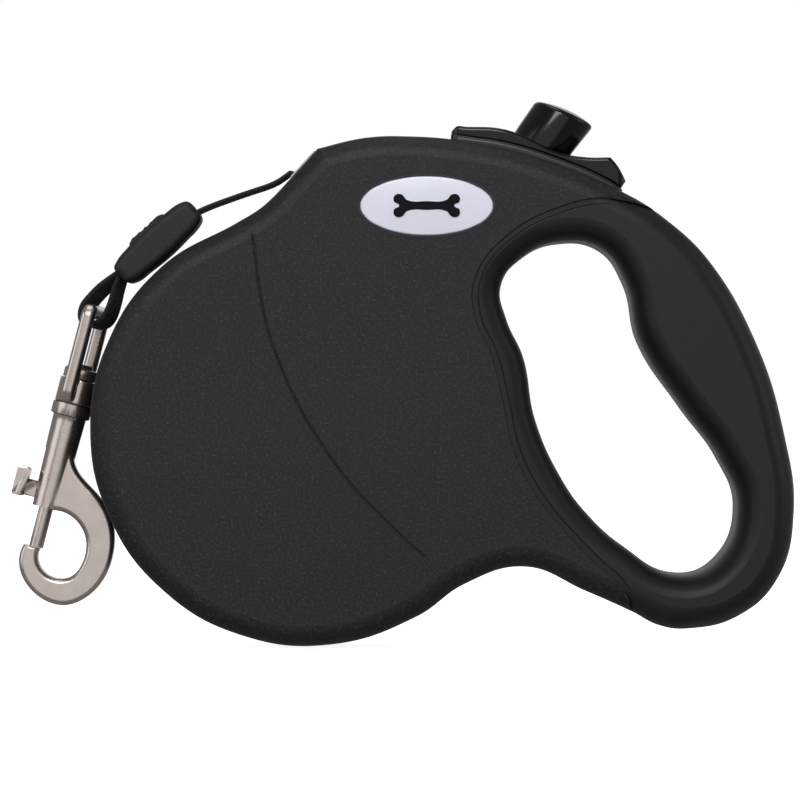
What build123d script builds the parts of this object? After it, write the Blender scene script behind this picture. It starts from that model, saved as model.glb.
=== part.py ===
"""Retractable tape leash: moulded casing with a soft grip, spring reel, thumb brake, tape end and snap hook.

Origin below the middle of the casing, +X towards the hand grip, +Z up, the parting plane at Y = 0.
"""
from build123d import *
from math import cos, hypot, radians, sin, tan
import os

os.makedirs("parts", exist_ok=True)

# Driving dimensions, in millimetres
DRUM = (-34.2, 54.5)          # reel axis, side view
DRUM_R = 54.5                 # outer rim of the drum
CASING_HALF = 18.0            # parting plane to a side face
GRIP_HALF = 16.5              # the same on the soft grip
WALL = 2.5
RIM_ROUND = 3.5
GRIP_ROUND = 5.0
CORE_W, CORE_HALF = 6.5, 10.0
BADGE_SEAT = 1.2
GUIDE_HALF = 8.5
SLIT = (7.1, 9.4)             # the tape's slit, along the mouth from its top
CAVITY_R = 49.0               # reel chamber
FIT = 0.05                    # running clearance on a radius
GAP = 0.3                     # between pieces that move past each other

FLANGE_R = 48.0               # ratchet flange
TOOTH_COUNT = 24
TOOTH_DEPTH = 4.8
VALLEY_W = 8.8
VALLEY_ANGLE = 49.6           # a valley waits under the pawl
FLANGE_FRONT, FLANGE_BACK = -8.0, -5.6
HUB_R = 14.0
AXLE_R = 4.0
COIL_R = 45.0
CUP_R = 42.0                  # power spring cup
SPRING_TURNS = 9

TAPE_HALF = 5.0               # half the tape's width
TAPE_T = 1.1
SECTION = TAPE_T * 2 * TAPE_HALF
MOUTH_TOP, MOUTH_END = (-31.8, 124.4), (-38.6, 116.9)
# reel, fold over the mouth's lip, slider; a straight tight tape between them
TAPE_ROUTE = [(-1.7, 86.7), (-38.5, 119.2), (-43, 115.9), (-50, 113.7), (-62.2, 109.3), (-66.9, 105.8)]
SLIDER = (-72.15, 101.1)
SLIDER_LEAN = 41.8            # degrees above level
SLIDER_HALF, SLIDER_Y = 12.75, 7.5
# round the eye's top bar, measured from its centre across and up the hook's axis
LOOP_ROUTE = [
    (5.4, 13.9), (3.0, 10.3), (0.5, 6.8), (-2.0, 3.6), (-3.1, 0.2), (-1.8, -2.9), (1.2, -3.4), (3.4, -1.0),
    (4.2, 2.8), (4.5, 6.5), (4.7, 9.6), (6.7, 13.1),
]

BUTTON_BASE = (24.75, 126.3)  # where the button's axis meets the saddle
BUTTON_LEAN = 37.0            # degrees from upright, towards the grip
BUTTON_R = 7.65
DOME_R = 12.5
SKIRT = 3.8                   # how far the button's cap sinks into the saddle
LOCK_TRAVEL = 2.5
STEM_R = 3.5
STEM_DEPTH = 18.0
CARRIAGE_DEPTH = 8.2
SADDLE_HALF = 10.5
BEZEL_HALF = 12.5

BADGE = (-4.5, 109.9)
BADGE_RX, BADGE_RZ = 17.1, 7.9

LEVER_PIN = (-10.0, 117.0)
PIN_R = 1.5
LEVER_FRONT, LEVER_BACK = -8.2, -5.6
PAWL_TIP = (1.9, 89.3)
PAD_R = 2.0
PAD_DEPTH = STEM_DEPTH + GAP + PAD_R

SCREW_R = 1.5
SCREW_HEAD_R = 2.8
HEAD_T = 2.0
SCREW_TIP = 6.0               # in front of the parting plane
# x, z and the depth of the head's seat behind the parting plane
SCREWS = [(-25, 119, 13), (5, 98.5, 13), (19.5, 27, 13), (79.5, 45, 7), (58, 97.5, 7)]

HOOK_TOP = (-94.35, 58.8)     # collar centre on the hook's axis
HOOK_TILT = 14.5              # degrees from upright
EYE_TURN = 10.5               # the eye's turn about the hook's axis
BAR_DROP = -25.7              # the eye's top bar, along the hook's axis
BAR_R = 1.7
BAR_LENGTH = 11.0
RIVET_R = 2.4
BARREL_R = 4.2
BOLT_R = 1.8
BOLT_END = 35.0
PLATE_HALF, PLATE_ROUND = 3.2, 1.4


# Frames and small helpers

def side_plane(y):
    """Side view at depth y: local x is X, local y is Z, and a positive extrude goes to -Y."""
    return Plane.XZ.offset(-y)


def write(piece, name):
    piece.part.label = name
    export_step(piece.part, f"parts/{name}.step")


LEAN = radians(BUTTON_LEAN)
UP = (sin(LEAN), cos(LEAN))        # button axis, outwards
ALONG = (cos(LEAN), -sin(LEAN))    # lock direction, towards the grip


def button_plane(depth=0.0):
    """Plane across the button's axis, depth below the saddle, with local x along the lock's travel."""
    x, z = BUTTON_BASE[0] - depth * UP[0], BUTTON_BASE[1] - depth * UP[1]
    return Plane(origin=(x, 0, z), x_dir=(ALONG[0], 0, ALONG[1]), z_dir=(UP[0], 0, UP[1]))


TILT = radians(HOOK_TILT)
DOWN = Vector(-sin(TILT), 0, -cos(TILT))
RIGHT = Vector(cos(TILT), 0, -sin(TILT))
HOOK_ORIGIN = Vector(HOOK_TOP[0], 0, HOOK_TOP[1])
BAR_CENTRE = HOOK_ORIGIN + DOWN * BAR_DROP


def hook_side(y=0.0):
    """Side view of the hook: local x to the right of its axis, local y up it."""
    return Plane(origin=HOOK_ORIGIN + Vector(0, y, 0), x_dir=RIGHT, z_dir=(0, -1, 0))


def hook_across(s):
    """Plane across the hook's axis, s below the collar, normal pointing up."""
    return Plane(origin=HOOK_ORIGIN + DOWN * s, x_dir=RIGHT, z_dir=DOWN * -1)


def eye_plane(origin, facing):
    """The eye's own side (facing "side") or face (facing "face"), turned with it about the hook's axis."""
    turn = radians(EYE_TURN)
    across = RIGHT * cos(turn) - Vector(0, 1, 0) * sin(turn)
    along = Vector(0, 1, 0) * cos(turn) + RIGHT * sin(turn)
    if facing == "side":
        return Plane(origin=origin, x_dir=across, z_dir=along * -1)
    return Plane(origin=origin, x_dir=along, z_dir=across)


# Casing outlines, side view

def draw_casing(mode=Mode.ADD):
    """The whole silhouette: drum, neck, handle, crown and tape mouth."""
    with BuildLine() as outline:
        rim = CenterArc(DRUM, DRUM_R, 108.2, 191.9)
        neck = Spline(rim @ 1, (5.1, 15.5), (20.1, 19.8), (35.1, 13.8), (46.6, 8.7))
        handle = Spline(
            neck @ 1, (53.9, 5), (61.4, 4.1), (73.9, 7.2), (83.9, 16.8), (87.9, 33.2), (85.4, 53.3),
            (78.4, 75.9), (67.2, 95.3), (55.4, 106.8), (44.2, 113.75),
        )
        crown = Spline(handle @ 1, (23.1, 122.25), (6.4, 126.1), (-9.5, 127.5), (-20, 127.1), MOUTH_TOP)
        mouth = Line(crown @ 1, MOUTH_END)
        Spline(mouth @ 1, (-43.2, 112), (-46.2, 109.4), rim @ 0)
    make_face(outline.edges(), mode=mode)


def draw_grip_side():
    """Everything on the handle's side of the line where the soft grip meets the casing."""
    with BuildLine() as outline:
        edge = Spline(
            (54, 107.5), (44, 111.2), (31, 110), (16, 102.6), (7.9, 92.2), (7.6, 82.6), (11.8, 72.9),
            (14.8, 60.8), (17.6, 48.6), (23.9, 36.5), (36.7, 21.9), (44.8, 13.8), (47.5, 4),
        )
        Polyline(edge @ 1, (47.5, -5), (110, -5), (110, 107.5), edge @ 0)
    make_face(outline.edges())


def draw_hand_hole():
    with BuildLine() as outline:
        Spline(
            (28.8, 101.2), (39.2, 99.5), (45.3, 91), (48.9, 76.3), (59.5, 59.9), (69, 46.9), (73.5, 34.9),
            (68.7, 21.6), (59, 17.6), (44.5, 25.1), (35.2, 33.6), (29.5, 41.5), (22.7, 56.6), (19.7, 72.3),
            (15.6, 81.5), (14.1, 90), (19.9, 97.6), periodic=True,
        )
    make_face(outline.edges(), mode=Mode.SUBTRACT)


def draw_handle_core():
    """Rib of the casing that runs inside the soft grip."""
    with BuildLine() as path:
        Spline(
            (34, 114.5), (46, 106.5), (58, 97.5), (69, 82), (77, 62), (81, 35), (73, 14), (60, 11),
            (44, 16.5), (27, 23.5),
        )
    trace(path.edges(), line_width=CORE_W)


def draw_brake_chamber():
    """Room above the reel for the tape's run, the lever and the lock."""
    with BuildLine() as outline:
        Polyline(
            (-40, 101), (-41.6, 111.5), (-37.2, 115.2), (-33, 118.2), (-29, 120.6), (-20, 124.4), (-9.5, 125),
            (6.4, 123.6), (16, 121.4), (30.5, 114), (27, 110.5), (15.3, 104.3), (6, 96), (5.2, 88), (2, 86),
            close=True,
        )
    make_face(outline.edges())


def mouth_point(along, out):
    """A point on the slanted tape mouth, along it from its top and out from its face."""
    run, drop = MOUTH_END[0] - MOUTH_TOP[0], MOUTH_END[1] - MOUTH_TOP[1]
    length = hypot(run, drop)
    ux, uz = run / length, drop / length
    return MOUTH_TOP[0] + along * ux + out * uz, MOUTH_TOP[1] + along * uz - out * ux


def draw_on_mouth(first, last, inner, outer):
    with BuildLine() as outline:
        Polyline(
            mouth_point(first, inner), mouth_point(last, inner), mouth_point(last, outer),
            mouth_point(first, outer), close=True,
        )
    make_face(outline.edges())


# Casing

def build_shell(name, side):
    """One clamshell half with its handle core, bosses and seats; side is -1 in front and 1 behind."""
    inner_y = CASING_HALF - WALL
    with BuildPart() as shell:
        with BuildSketch(Plane.XZ):
            draw_casing()
        extrude(amount=-side * CASING_HALF)
        fillet(shell.edges().group_by(Axis.Y)[0 if side < 0 else -1], RIM_ROUND)
        with BuildSketch(Plane.XZ):
            draw_grip_side()
        extrude(amount=-side * CASING_HALF, mode=Mode.SUBTRACT)
        with BuildSketch(Plane.XZ):
            draw_handle_core()
        extrude(amount=-side * CORE_HALF)
        with BuildSketch(Plane.XZ):
            with Locations(DRUM):
                Circle(CAVITY_R)
            draw_brake_chamber()
        extrude(amount=-side * inner_y, mode=Mode.SUBTRACT)
        # bosses for the axle, the lever pin and the casing screws
        with BuildSketch(side_plane(side * inner_y)):
            with Locations(DRUM):
                Circle(7)
        extrude(amount=side * (6.1 if side < 0 else 1.2))
        with BuildSketch(side_plane(side * inner_y)):
            with Locations(LEVER_PIN):
                Circle(3.4)
        extrude(amount=side * 5)
        with BuildSketch(Plane.XZ):
            with Locations(*[(x, z) for x, z, seat in SCREWS[:3]]):
                Circle(3.5)
        extrude(amount=-side * inner_y)
        with BuildSketch(Plane.XZ):
            with Locations(DRUM):
                Circle(AXLE_R)
            with Locations(LEVER_PIN):
                Circle(PIN_R)
        extrude(amount=-side * inner_y, mode=Mode.SUBTRACT)
        for x, z, seat in SCREWS:
            with BuildSketch(Plane.XZ):
                with Locations((x, z)):
                    Circle(SCREW_R)
            extrude(amount=-side * (seat if side > 0 else SCREW_TIP), mode=Mode.SUBTRACT)
            if side > 0:
                with BuildSketch(side_plane(seat)):
                    with Locations((x, z)):
                        Circle(SCREW_HEAD_R)
                extrude(amount=-CASING_HALF, mode=Mode.SUBTRACT)
        # window for the button, its carriage and the stem
        with BuildSketch(button_plane(11.5)):
            with Locations((0.9, 0)):
                Rectangle(19.8, 21)
        extrude(amount=24, mode=Mode.SUBTRACT)
        # seat of the tape guide and the slit behind it
        with BuildSketch(Plane.XZ):
            draw_on_mouth(0.6, 9.8, -1.2, 2)
        extrude(amount=-side * GUIDE_HALF, mode=Mode.SUBTRACT)
        with BuildSketch(Plane.XZ):
            draw_on_mouth(SLIT[0], SLIT[1], -5, 2)
        extrude(amount=-side * (TAPE_HALF + GAP), mode=Mode.SUBTRACT)
        if side < 0:
            with BuildSketch(side_plane(-CASING_HALF)):
                with Locations(BADGE):
                    Ellipse(BADGE_RX, BADGE_RZ)
            extrude(amount=-BADGE_SEAT, mode=Mode.SUBTRACT)
        with BuildLine() as crease:
            Spline((-48.3, 104), (-43.6, 77.7), (-29.4, 48.6), (-11.2, 28), (-5, 22.5))
        with BuildSketch(side_plane(side * CASING_HALF)):
            trace(crease.edges(), line_width=0.5)
        extrude(amount=side * 0.4, mode=Mode.SUBTRACT)
    write(shell, name)


def build_grip(name, side):
    """Soft overmould half round the handle core."""
    with BuildPart() as grip:
        with BuildSketch(Plane.XZ):
            draw_casing()
            draw_hand_hole()
        extrude(amount=-side * GRIP_HALF)
        fillet(grip.edges().group_by(Axis.Y)[0 if side < 0 else -1], GRIP_ROUND)
        with BuildSketch(Plane.XZ):
            draw_grip_side()
        extrude(amount=-side * CASING_HALF, mode=Mode.INTERSECT)
        with BuildSketch(Plane.XZ):
            draw_handle_core()
        extrude(amount=-side * CORE_HALF, mode=Mode.SUBTRACT)
        if side > 0:
            with BuildSketch(Plane.XZ):
                with Locations(*[(x, z) for x, z, seat in SCREWS[3:]]):
                    Circle(SCREW_HEAD_R)
            extrude(amount=-CASING_HALF, mode=Mode.SUBTRACT)
    write(grip, name)


def build_badge():
    """Plain domed oval plate in a thin rim; it carries no mark."""
    floor = -CASING_HALF + BADGE_SEAT
    with BuildPart() as badge_base:
        with BuildSketch(side_plane(floor)):
            with Locations(BADGE):
                Ellipse(BADGE_RX, BADGE_RZ)
        extrude(amount=BADGE_SEAT + 0.2)
        with BuildSketch(side_plane(floor - 0.5)):
            with Locations(BADGE):
                Ellipse(BADGE_RX - 0.5, BADGE_RZ - 0.5)
        extrude(amount=2, mode=Mode.SUBTRACT)
    write(badge_base, "badge_base")
    with BuildPart() as badge_dome:
        with BuildSketch(side_plane(floor - 0.5)):
            with Locations(BADGE):
                Ellipse(BADGE_RX - 0.5, BADGE_RZ - 0.5)
        extrude(amount=BADGE_SEAT + 0.3)
        fillet(badge_dome.edges().group_by(Axis.Y)[0], 0.8)
    write(badge_dome, "badge_dome")


def build_tape_guide():
    """Smooth insert that lines the mouth."""
    with BuildPart() as tape_guide:
        with BuildSketch(Plane.XZ):
            draw_on_mouth(0.6, 9.8, -1.2, 0.4)
        extrude(amount=GUIDE_HALF, both=True)
        with BuildSketch(Plane.XZ):
            draw_on_mouth(SLIT[0], SLIT[1], -5, 2)
        extrude(amount=TAPE_HALF + GAP, both=True, mode=Mode.SUBTRACT)
    write(tape_guide, "tape_guide")


# Brake

def build_brake_trim():
    """Bezel band along the crown and the thumb saddle it frames, both opened for the button."""
    with BuildPart() as bezel:
        with BuildSketch(Plane.XZ):
            with BuildLine() as outline:
                top = Spline((1.7, 128.1), (6.4, 127.45), (16.45, 125.8), (29.8, 121.6), (40.6, 116.9), (44.6, 114.2))
                Polyline(top @ 1, (43, 110), (0.3, 120), (0.3, 127.6), top @ 0)
            make_face(outline.edges())
            draw_casing(mode=Mode.SUBTRACT)
        extrude(amount=BEZEL_HALF, both=True)
        with BuildSketch(Plane.XY.offset(100)):
            with Locations((31.8, 0)):
                Rectangle(60, 2 * SADDLE_HALF)
        extrude(amount=40, mode=Mode.SUBTRACT)
    write(bezel, "brake_bezel")
    with BuildPart() as saddle:
        with BuildSketch(Plane.XZ):
            with BuildLine() as outline:
                front = Polyline((1.8, 120), (1.8, 128.9), (3.2, 130.2), (5.3, 130.1))
                dip = Spline(front @ 1, (13.75, 129.7), (19.5, 128), (28.3, 123.8), (35, 122.5), (41.7, 122.4))
                Polyline(dip @ 1, (43.6, 120.1), (45.5, 116.45), (44.2, 113.75), (43, 110), front @ 0)
            make_face(outline.edges())
            draw_casing(mode=Mode.SUBTRACT)
        extrude(amount=SADDLE_HALF, both=True)
        fillet(saddle.edges().group_by(Axis.Y)[0] + saddle.edges().group_by(Axis.Y)[-1], 0.8)
        with BuildSketch(button_plane(14)):
            with Locations((LOCK_TRAVEL / 2, 0)):
                SlotCenterToCenter(LOCK_TRAVEL, 2 * (BUTTON_R + GAP))
        extrude(amount=30, mode=Mode.SUBTRACT)
    write(saddle, "thumb_saddle")


def build_button():
    """Leaning thumb button with its stem, the carriage that locks it and its spring."""
    with BuildPart() as button:
        with BuildSketch(button_plane(SKIRT)):
            Circle(BUTTON_R)
        extrude(amount=SKIRT + 14)
        crown = button_plane(DOME_R - 11.2)
        with Locations(crown.location * Location((2, 0, 0))):
            Sphere(DOME_R, mode=Mode.INTERSECT)
        with BuildSketch(button_plane(SKIRT)):
            Circle(5.9)
        extrude(amount=SKIRT + 1, mode=Mode.SUBTRACT)
        with BuildSketch(button_plane(STEM_DEPTH)):
            Circle(STEM_R)
        extrude(amount=STEM_DEPTH + 2)
        fillet(button.edges().sort_by(SortBy.LENGTH)[-1], 0.5)
    write(button, "brake_button")
    with BuildPart() as carriage:
        with BuildSketch(button_plane(CARRIAGE_DEPTH + 2.4)):
            Rectangle(16, 20.4)
            Circle(STEM_R + FIT, mode=Mode.SUBTRACT)
        extrude(amount=2.4)
    write(carriage, "lock_carriage")
    with BuildPart() as spring:
        with BuildSketch(button_plane(CARRIAGE_DEPTH - 0.05)):
            Circle(5.5)
            Circle(4.1, mode=Mode.SUBTRACT)
        extrude(amount=CARRIAGE_DEPTH + 0.9)
    write(spring, "brake_spring")


def build_lever():
    """Bell crank under the stem with the pawl that drops into the ratchet."""
    pad = (BUTTON_BASE[0] - PAD_DEPTH * UP[0], BUTTON_BASE[1] - PAD_DEPTH * UP[1])
    with BuildPart() as lever:
        with BuildSketch(side_plane(LEVER_BACK)):
            with Locations(LEVER_PIN):
                Circle(4)
            with BuildLine() as arm:
                Line(LEVER_PIN, pad)
            trace(arm.edges(), line_width=2 * PAD_R)
            with BuildLine() as pawl:
                Line(LEVER_PIN, PAWL_TIP)
            trace(pawl.edges(), line_width=3)
            with Locations(pad):
                Circle(PAD_R)
            with Locations(LEVER_PIN):
                Circle(PIN_R + FIT, mode=Mode.SUBTRACT)
        extrude(amount=LEVER_BACK - LEVER_FRONT)
        with BuildSketch(side_plane(LEVER_BACK)):
            with Locations(pad):
                Circle(PAD_R)
        extrude(amount=-8.6)
    write(lever, "brake_lever")
    with BuildPart() as pin:
        with BuildSketch(side_plane(CASING_HALF - WALL)):
            with Locations(LEVER_PIN):
                Circle(PIN_R)
        extrude(amount=2 * (CASING_HALF - WALL))
    write(pin, "lever_pin")


# Reel

def build_reel():
    """Spool with its ratchet flange and spring cup, the cup's cover, the power spring and the wound tape."""
    with BuildPart() as spool:
        with BuildSketch(side_plane(FLANGE_BACK)):
            with Locations(DRUM):
                Circle(FLANGE_R)
                with PolarLocations(FLANGE_R, TOOTH_COUNT, VALLEY_ANGLE):
                    Rectangle(2 * TOOTH_DEPTH, VALLEY_W, mode=Mode.SUBTRACT)
        extrude(amount=FLANGE_BACK - FLANGE_FRONT)
        with BuildSketch(side_plane(7.4)):
            with Locations(DRUM):
                Circle(HUB_R)
        extrude(amount=7.4 - FLANGE_BACK)
        with BuildSketch(side_plane(7.4)):
            with Locations(DRUM):
                Circle(FLANGE_R)
        extrude(amount=1.8)
        with BuildSketch(side_plane(13)):
            with Locations(DRUM):
                Circle(CUP_R)
                Circle(CUP_R - 2, mode=Mode.SUBTRACT)
        extrude(amount=5.6)
        with BuildSketch(side_plane(7.4)):
            with Locations(DRUM):
                Circle(AXLE_R + FIT)
        extrude(amount=20, mode=Mode.SUBTRACT)
    write(spool, "spool")
    with BuildPart() as cover:
        with BuildSketch(side_plane(13.9)):
            with Locations(DRUM):
                Circle(CUP_R)
                Circle(8, mode=Mode.SUBTRACT)
        extrude(amount=0.9)
    write(cover, "spring_cover")
    with BuildPart() as power_spring:
        step = (CUP_R - 2.8 - 5.5) / (2 * SPRING_TURNS)
        with BuildSketch(side_plane(12.6)):
            with BuildLine() as spiral:
                for half in range(2 * SPRING_TURNS):
                    centre = (DRUM[0] + step * (half % 2), DRUM[1])
                    CenterArc(centre, 5.5 + half * step, 180 * (half % 2), 180)
            trace(spiral.edges(), line_width=0.5)
        extrude(amount=3.7)
    write(power_spring, "power_spring")
    with BuildPart() as wound_tape:
        with BuildSketch(side_plane(TAPE_HALF)):
            with Locations(DRUM):
                Circle(COIL_R)
                Circle(HUB_R, mode=Mode.SUBTRACT)
        extrude(amount=2 * TAPE_HALF)
    write(wound_tape, "wound_tape")


def build_axle():
    with BuildPart() as axle:
        with BuildSketch(side_plane(CASING_HALF - WALL)):
            with Locations(DRUM):
                Circle(AXLE_R)
        extrude(amount=2 * (CASING_HALF - WALL))
    write(axle, "axle")
    with BuildPart() as washers:
        for back, thick in [(-8.3, 1.1), (8.6, 0.9)]:
            with BuildSketch(side_plane(back)):
                with Locations(DRUM):
                    Circle(5.2 if back > 0 else 7)
                    Circle(AXLE_R, mode=Mode.SUBTRACT)
            extrude(amount=thick)
    write(washers, "axle_washers")


def build_screws():
    with BuildPart() as screws:
        for x, z, seat in SCREWS:
            with BuildSketch(side_plane(seat + HEAD_T)):
                with Locations((x, z)):
                    Circle(SCREW_HEAD_R)
            extrude(amount=HEAD_T)
            with BuildSketch(side_plane(seat)):
                with Locations((x, z)):
                    Circle(SCREW_R)
            extrude(amount=seat + SCREW_TIP)
            with BuildSketch(side_plane(seat + HEAD_T)):
                with Locations((x, z)):
                    Rectangle(3.4, 0.8)
                    Rectangle(0.8, 3.4)
            extrude(amount=1, mode=Mode.SUBTRACT)
    write(screws, "casing_screws")


# Tape end

def corner_radii(route):
    """The largest tangent arc at each corner of a route."""
    radii = []
    for before, here, after in zip(route, route[1:], route[2:]):
        first, last = Vector(*here) - Vector(*before), Vector(*after) - Vector(*here)
        turn = radians(first.get_angle(last))
        radii.append(0.45 * min(first.length, last.length) / tan(turn / 2))
    return radii


def build_tape():
    """Tape from the reel to the slider, and the sewn loop round the eye's bar."""
    radii = corner_radii(TAPE_ROUTE)
    print("tape_run radii", [round(r, 1) for r in radii])
    with BuildPart() as tape_run:
        with BuildSketch(side_plane(TAPE_HALF)):
            with BuildLine() as path:
                FilletPolyline(*TAPE_ROUTE, radius=radii)
            trace(path.edges(), line_width=TAPE_T)
        extrude(amount=2 * TAPE_HALF)
    print("tape_run volume", tape_run.part.volume, "section x length", sum(e.length for e in path.edges()) * SECTION)
    write(tape_run, "tape_run")
    radii = corner_radii(LOOP_ROUTE)
    print("tape_loop radii", [round(r, 1) for r in radii])
    with BuildPart() as tape_loop:
        with BuildSketch(eye_plane(BAR_CENTRE, "side")):
            with BuildLine() as path:
                FilletPolyline(*LOOP_ROUTE, radius=radii)
            trace(path.edges(), line_width=TAPE_T)
        extrude(amount=TAPE_HALF, both=True)
    print("tape_loop volume", tape_loop.part.volume, "section x length", sum(e.length for e in path.edges()) * SECTION)
    write(tape_loop, "tape_loop")


def build_slider():
    """Rubber sleeve over the tape's sewn end, with plain ribs on its outer face."""
    lean = radians(SLIDER_LEAN)
    plane = Plane(origin=(SLIDER[0], 0, SLIDER[1]), x_dir=(cos(lean), 0, sin(lean)), z_dir=(0, -1, 0))
    with BuildPart() as slider:
        with BuildSketch(plane):
            with BuildLine() as outline:
                low = Spline((SLIDER_HALF, -2.9), (0, -3.9), (-SLIDER_HALF, -2.9))
                high = Spline((-SLIDER_HALF, 2.9), (0, 3.7), (SLIDER_HALF, 2.9))
                Line(low @ 1, high @ 0)
                Line(high @ 1, low @ 0)
            make_face(outline.edges())
        extrude(amount=SLIDER_Y, both=True)
        fillet(slider.edges(), 1.6)
        with BuildSketch(plane):
            for x in range(-6, 7, 3):
                with Locations((x, 3.7)):
                    Rectangle(1.4, 2.2)
        extrude(amount=SLIDER_Y - 3, both=True)
        with BuildSketch(plane):
            with Locations((SLIDER_HALF, 0)):
                Rectangle(14, TAPE_T + 0.1)
            with Locations((-SLIDER_HALF, 0)):
                Rectangle(11, 2 * TAPE_T + 1.2)
        extrude(amount=TAPE_HALF + 0.1, both=True, mode=Mode.SUBTRACT)
    write(slider, "tape_slider")


# Snap hook

def build_eye():
    """Swivel eye: a closed bail on a base that turns on the rivet."""
    with BuildPart() as eye:
        with BuildSketch(eye_plane(HOOK_ORIGIN, "face")) as ring:
            with Locations((0, 14.65)):
                RectangleRounded(18.6, 25.5, 3.3)
                with Locations((0, 1.35)):
                    RectangleRounded(11.8, 16, 1, mode=Mode.SUBTRACT)
        extrude(amount=BAR_R, both=True)
        fillet(eye.edges(), 1.3)
        # the bar that the tape swings on is round
        bar = Plane(origin=BAR_CENTRE, x_dir=DOWN, z_dir=eye_plane(BAR_CENTRE, "side").z_dir)
        with BuildSketch(bar):
            Rectangle(4, 4)
        extrude(amount=BAR_LENGTH / 2, both=True, mode=Mode.SUBTRACT)
        with BuildSketch(bar):
            Circle(BAR_R)
        extrude(amount=BAR_LENGTH / 2 + 0.5, both=True)
        with BuildSketch(hook_across(-1.9)):
            Ellipse(4.7, 7.2, rotation=EYE_TURN)
        extrude(amount=6.1)
        with BuildSketch(hook_across(0)):
            Circle(RIVET_R + FIT)
        extrude(amount=9, mode=Mode.SUBTRACT)
    write(eye, "swivel_eye")
    with BuildPart() as rivet:
        with BuildSketch(hook_across(1)):
            Circle(RIVET_R)
        extrude(amount=9.2)
        with BuildSketch(hook_across(-8.2)):
            Circle(4.3)
        extrude(amount=2.8)
        fillet(rivet.edges().sort_by(Axis.Z)[-1], 0.8)
        with BuildSketch(hook_across(-11)):
            Circle(2.6)
        extrude(amount=1)
    write(rivet, "swivel_rivet")


def build_hook():
    """Cast hook with its barrel, the sliding bolt with its thumb lug, and the bolt's spring."""
    with BuildPart() as hook:
        with BuildSketch(hook_side()):
            with BuildLine() as outline:
                back = Spline(
                    (3.2, -8), (6.4, -15.2), (11.9, -18.9), (17.1, -24.5), (19.4, -32.7), (17.3, -42.3),
                    (10.8, -48), (3.4, -47.3), (-2.4, -42.1), (-3.1, -35.7),
                )
                tip = Line(back @ 1, (1.2, -35.7))
                eye = Spline(
                    tip @ 1, (1.9, -39.4), (5.5, -41.8), (10.3, -40.7), (12.6, -35.5), (11.2, -29.4),
                    (7, -25.9), (1.7, -25.6),
                )
                Polyline(eye @ 1, (1, -24), (1, -8), back @ 0)
            make_face(outline.edges())
        extrude(amount=PLATE_HALF, both=True)
        sides = hook.faces().sort_by(Axis.Y)
        rims = (sides[0].edges() + sides[-1].edges()).filter_by(GeomType.BSPLINE)
        fillet(rims, PLATE_ROUND)
        with BuildSketch(hook_across(25.3)):
            Circle(3.8)
        with BuildSketch(hook_across(1.3)):
            Circle(BARREL_R)
        loft()
        with BuildSketch(hook_across(1.3)):
            Circle(5)
        extrude(amount=2.9)
        with BuildSketch(hook_across(1)):
            Circle(RIVET_R)
        extrude(amount=5, mode=Mode.SUBTRACT)
        with BuildSketch(hook_across(30)):
            Circle(BOLT_R + FIT)
        extrude(amount=27, mode=Mode.SUBTRACT)
        with BuildSketch(hook_side()):
            with Locations((-4, -18.5)):
                Rectangle(8, 16)
        extrude(amount=1.5, both=True, mode=Mode.SUBTRACT)
    write(hook, "hook_body")
    with BuildPart() as bolt:
        with BuildSketch(hook_across(BOLT_END)):
            Circle(BOLT_R)
        extrude(amount=BOLT_END - 14)
        with BuildSketch(hook_side()):
            with Locations((-3.5, -21.4)):
                Rectangle(7, 4.2)
        extrude(amount=1.2, both=True)
        with BuildSketch(hook_side()):
            with Locations((-7.7, -20.2)):
                RectangleRounded(3.1, 7.4, 0.8)
        extrude(amount=3.6, both=True)
    write(bolt, "hook_bolt")
    with BuildPart() as spring:
        with BuildSketch(hook_across(13.8)):
            Circle(1.7)
            Circle(1.2, mode=Mode.SUBTRACT)
        extrude(amount=10.6)
    write(spring, "bolt_spring")


build_shell("shell_front", -1)
build_shell("shell_back", 1)
build_grip("grip_front", -1)
build_grip("grip_back", 1)
build_badge()
build_tape_guide()
build_brake_trim()
build_button()
build_lever()
build_reel()
build_axle()
build_screws()
build_tape()
build_slider()
build_eye()
build_hook()
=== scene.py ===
"""Retractable tape leash, dressed round its CAD frame: casing, soft grip, thumb brake, tape end and snap hook."""
import math

import bmesh
import bpy
from mathutils import Matrix, Vector


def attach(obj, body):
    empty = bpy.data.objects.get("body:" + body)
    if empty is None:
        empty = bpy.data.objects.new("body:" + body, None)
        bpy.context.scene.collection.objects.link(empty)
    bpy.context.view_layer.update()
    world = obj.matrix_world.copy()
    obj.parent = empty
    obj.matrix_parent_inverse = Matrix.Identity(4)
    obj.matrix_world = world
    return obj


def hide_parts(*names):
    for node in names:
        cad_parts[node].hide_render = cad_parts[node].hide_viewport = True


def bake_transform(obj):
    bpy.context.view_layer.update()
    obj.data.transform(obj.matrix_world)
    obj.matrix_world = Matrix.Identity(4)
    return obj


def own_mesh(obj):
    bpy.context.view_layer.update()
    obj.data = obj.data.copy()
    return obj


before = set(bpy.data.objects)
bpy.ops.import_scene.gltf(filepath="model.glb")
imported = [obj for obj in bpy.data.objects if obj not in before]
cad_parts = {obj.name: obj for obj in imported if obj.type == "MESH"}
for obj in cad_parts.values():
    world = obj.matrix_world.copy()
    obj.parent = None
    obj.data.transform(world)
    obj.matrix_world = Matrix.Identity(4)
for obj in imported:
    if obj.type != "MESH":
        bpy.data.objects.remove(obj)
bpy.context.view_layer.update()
MM = 0.001


# ---- Camera ----
# Straight on to the side of the leash, far enough away that both side faces look nearly the same size.
def add_object(name, data):
    """A new object in the scene."""
    added = bpy.data.objects.new(name, data)
    bpy.context.scene.collection.objects.link(added)
    return added


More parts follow.
